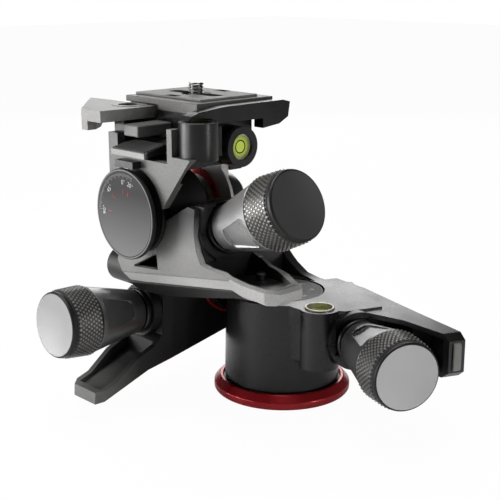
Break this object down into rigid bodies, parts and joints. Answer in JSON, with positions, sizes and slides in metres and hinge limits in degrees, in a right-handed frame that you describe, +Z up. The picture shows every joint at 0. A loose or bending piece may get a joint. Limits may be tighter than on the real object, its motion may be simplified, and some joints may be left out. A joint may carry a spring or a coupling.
{
  "type": "geared tripod head",
  "caption": "Geared tripod head: base ring, panning drum and two tilting castings, each axis driven by a knurled worm knob beside a channel arm, with a clamp plate on top.",
  "frame": {"origin": "centre of the base's underside, where the tripod thread opens, on the pan axis", "axes": "+Z up along the pan axis, -Y towards the side tilt's degree disc, +X towards the side tilt knob"},
  "size_m": [0.1551, 0.1264, 0.1346],
  "materials": {
    "red_anodised": "satin anodised",
    "black_casting": "satin moulded polymer",
    "grey_casting": "satin powder coat",
    "steel": "machined",
    "bronze": "machined",
    "dial_black": "satin, printed scale",
    "knob_polymer": "satin, knurled grip",
    "soft_black": "matt",
    "dark_plate": "anodised",
    "vial_fluid": "clear fluid in a clear vial",
    "level_rim": "satin",
    "slide_polymer": "smooth"
  },
  "bodies": {
    "base": {"base_ring": "red_anodised", "base_plate": "dark_plate", "thread_insert": "steel", "pan_shaft": "steel", "pan_wheel": "bronze", "pan_dial": "dial_black", "slide_ring": "slide_polymer"},
    "pan_body": {"pan_shell": "black_casting", "pan_casting": "black_casting", "pan_arm_end": "grey_casting", "pan_bush": "black_casting", "pan_spring": "steel", "front_shaft": "steel", "front_wheel": "bronze", "front_dial": "dial_black", "front_trim": "red_anodised", "deck_vial": "vial_fluid", "deck_level_rim": "level_rim"},
    "tilt_body": {"left_casting": "black_casting", "front_bush": "black_casting", "front_spring": "steel", "mid_casting": "black_casting", "mid_cover": "grey_casting", "mid_screw": "steel", "side_bush": "black_casting", "side_spring": "steel", "side_pin": "steel", "side_dial": "dial_black", "rear_cone": "black_casting"},
    "top_body": {"side_wheel": "bronze", "top_wedge": "grey_casting", "top_casting": "black_casting", "latch_stop": "grey_casting", "rear_sector": "grey_casting", "side_trim": "red_anodised", "receiver": "black_casting", "camera_plate": "grey_casting", "camera_pad": "soft_black", "front_vial": "vial_fluid", "side_vial": "vial_fluid", "clamp_pin": "steel", "latch_pin": "steel"},
    "pan_knob": {"pan_worm": "steel", "pan_grip": "knob_polymer", "pan_cap": "knob_polymer", "pan_oring": "soft_black"},
    "pan_release": {"pan_sleeve": "knob_polymer"},
    "front_knob": {"front_worm": "steel", "front_grip": "knob_polymer", "front_cap": "knob_polymer", "front_oring": "soft_black"},
    "front_release": {"front_sleeve": "knob_polymer"},
    "side_knob": {"side_worm": "steel", "side_grip": "knob_polymer", "side_cap": "knob_polymer", "side_oring": "soft_black"},
    "side_release": {"side_sleeve": "knob_polymer"},
    "lever": {"clamp_lever": "grey_casting"},
    "latch": {"safety_latch": "grey_casting"},
    "screw": {"camera_screw": "steel"}
  },
  "joints": [
    {"name": "pan", "type": "hinge", "parent": "base", "child": "pan_body", "pos_m": [0, 0, 0], "axis": [0, 0, 1], "continuous": true},
    {"name": "front_tilt", "type": "hinge", "parent": "pan_body", "child": "tilt_body", "pos_m": [0, -0.004, 0.051], "axis": [-1, 0, 0], "range_deg": [-20, 90]},
    {"name": "side_tilt", "type": "hinge", "parent": "tilt_body", "child": "top_body", "pos_m": [-0.0214, 0, 0.0849], "axis": [0, -1, 0], "range_deg": [-20, 90]},
    {"name": "pan_knob_spin", "type": "hinge", "parent": "pan_body", "child": "pan_knob", "pos_m": [0.00689, 0.01554, 0.0321], "axis": [0.9143, -0.4051, 0], "continuous": true},
    {"name": "pan_release_turn", "type": "hinge", "parent": "pan_body", "child": "pan_release", "pos_m": [0.00689, 0.01554, 0.0321], "axis": [0.9143, -0.4051, 0], "range_deg": [0, 30], "stiffness_Nm_per_rad": 0.02},
    {"name": "front_knob_spin", "type": "hinge", "parent": "tilt_body", "child": "front_knob", "pos_m": [-0.0381, -0.00516, 0.03404], "axis": [0, -0.9977, 0.068], "range_deg": [-962, 4322]},
    {"name": "front_release_turn", "type": "hinge", "parent": "tilt_body", "child": "front_release", "pos_m": [-0.0381, -0.00516, 0.03404], "axis": [0, -0.9977, 0.068], "range_deg": [0, 30], "stiffness_Nm_per_rad": 0.02},
    {"name": "side_knob_spin", "type": "hinge", "parent": "tilt_body", "child": "side_knob", "pos_m": [-0.01489, -0.0443, 0.06919], "axis": [0.9239, 0, 0.3827], "range_deg": [-962, 4322]},
    {"name": "side_release_turn", "type": "hinge", "parent": "tilt_body", "child": "side_release", "pos_m": [-0.01489, -0.0443, 0.06919], "axis": [0.9239, 0, 0.3827], "range_deg": [0, 30], "stiffness_Nm_per_rad": 0.02},
    {"name": "lever_turn", "type": "hinge", "parent": "top_body", "child": "lever", "pos_m": [-0.034, -0.0546, 0.121], "axis": [0, 0, 1], "range_deg": [0, 40]},
    {"name": "latch_press", "type": "hinge", "parent": "top_body", "child": "latch", "pos_m": [-0.018, -0.053, 0.112], "axis": [1, 0, 0], "range_deg": [0, 6], "stiffness_Nm_per_rad": 0.02},
    {"name": "screw_spin", "type": "hinge", "parent": "top_body", "child": "screw", "pos_m": [-0.0211, -0.03, 0.124], "axis": [0, 0, 1], "continuous": true}
  ],
  "couplings": [
    {"joint": "pan_knob_spin", "follows": "pan", "ratio": 48},
    {"joint": "front_knob_spin", "follows": "front_tilt", "ratio": 48},
    {"joint": "side_knob_spin", "follows": "side_tilt", "ratio": 48}
  ]
}
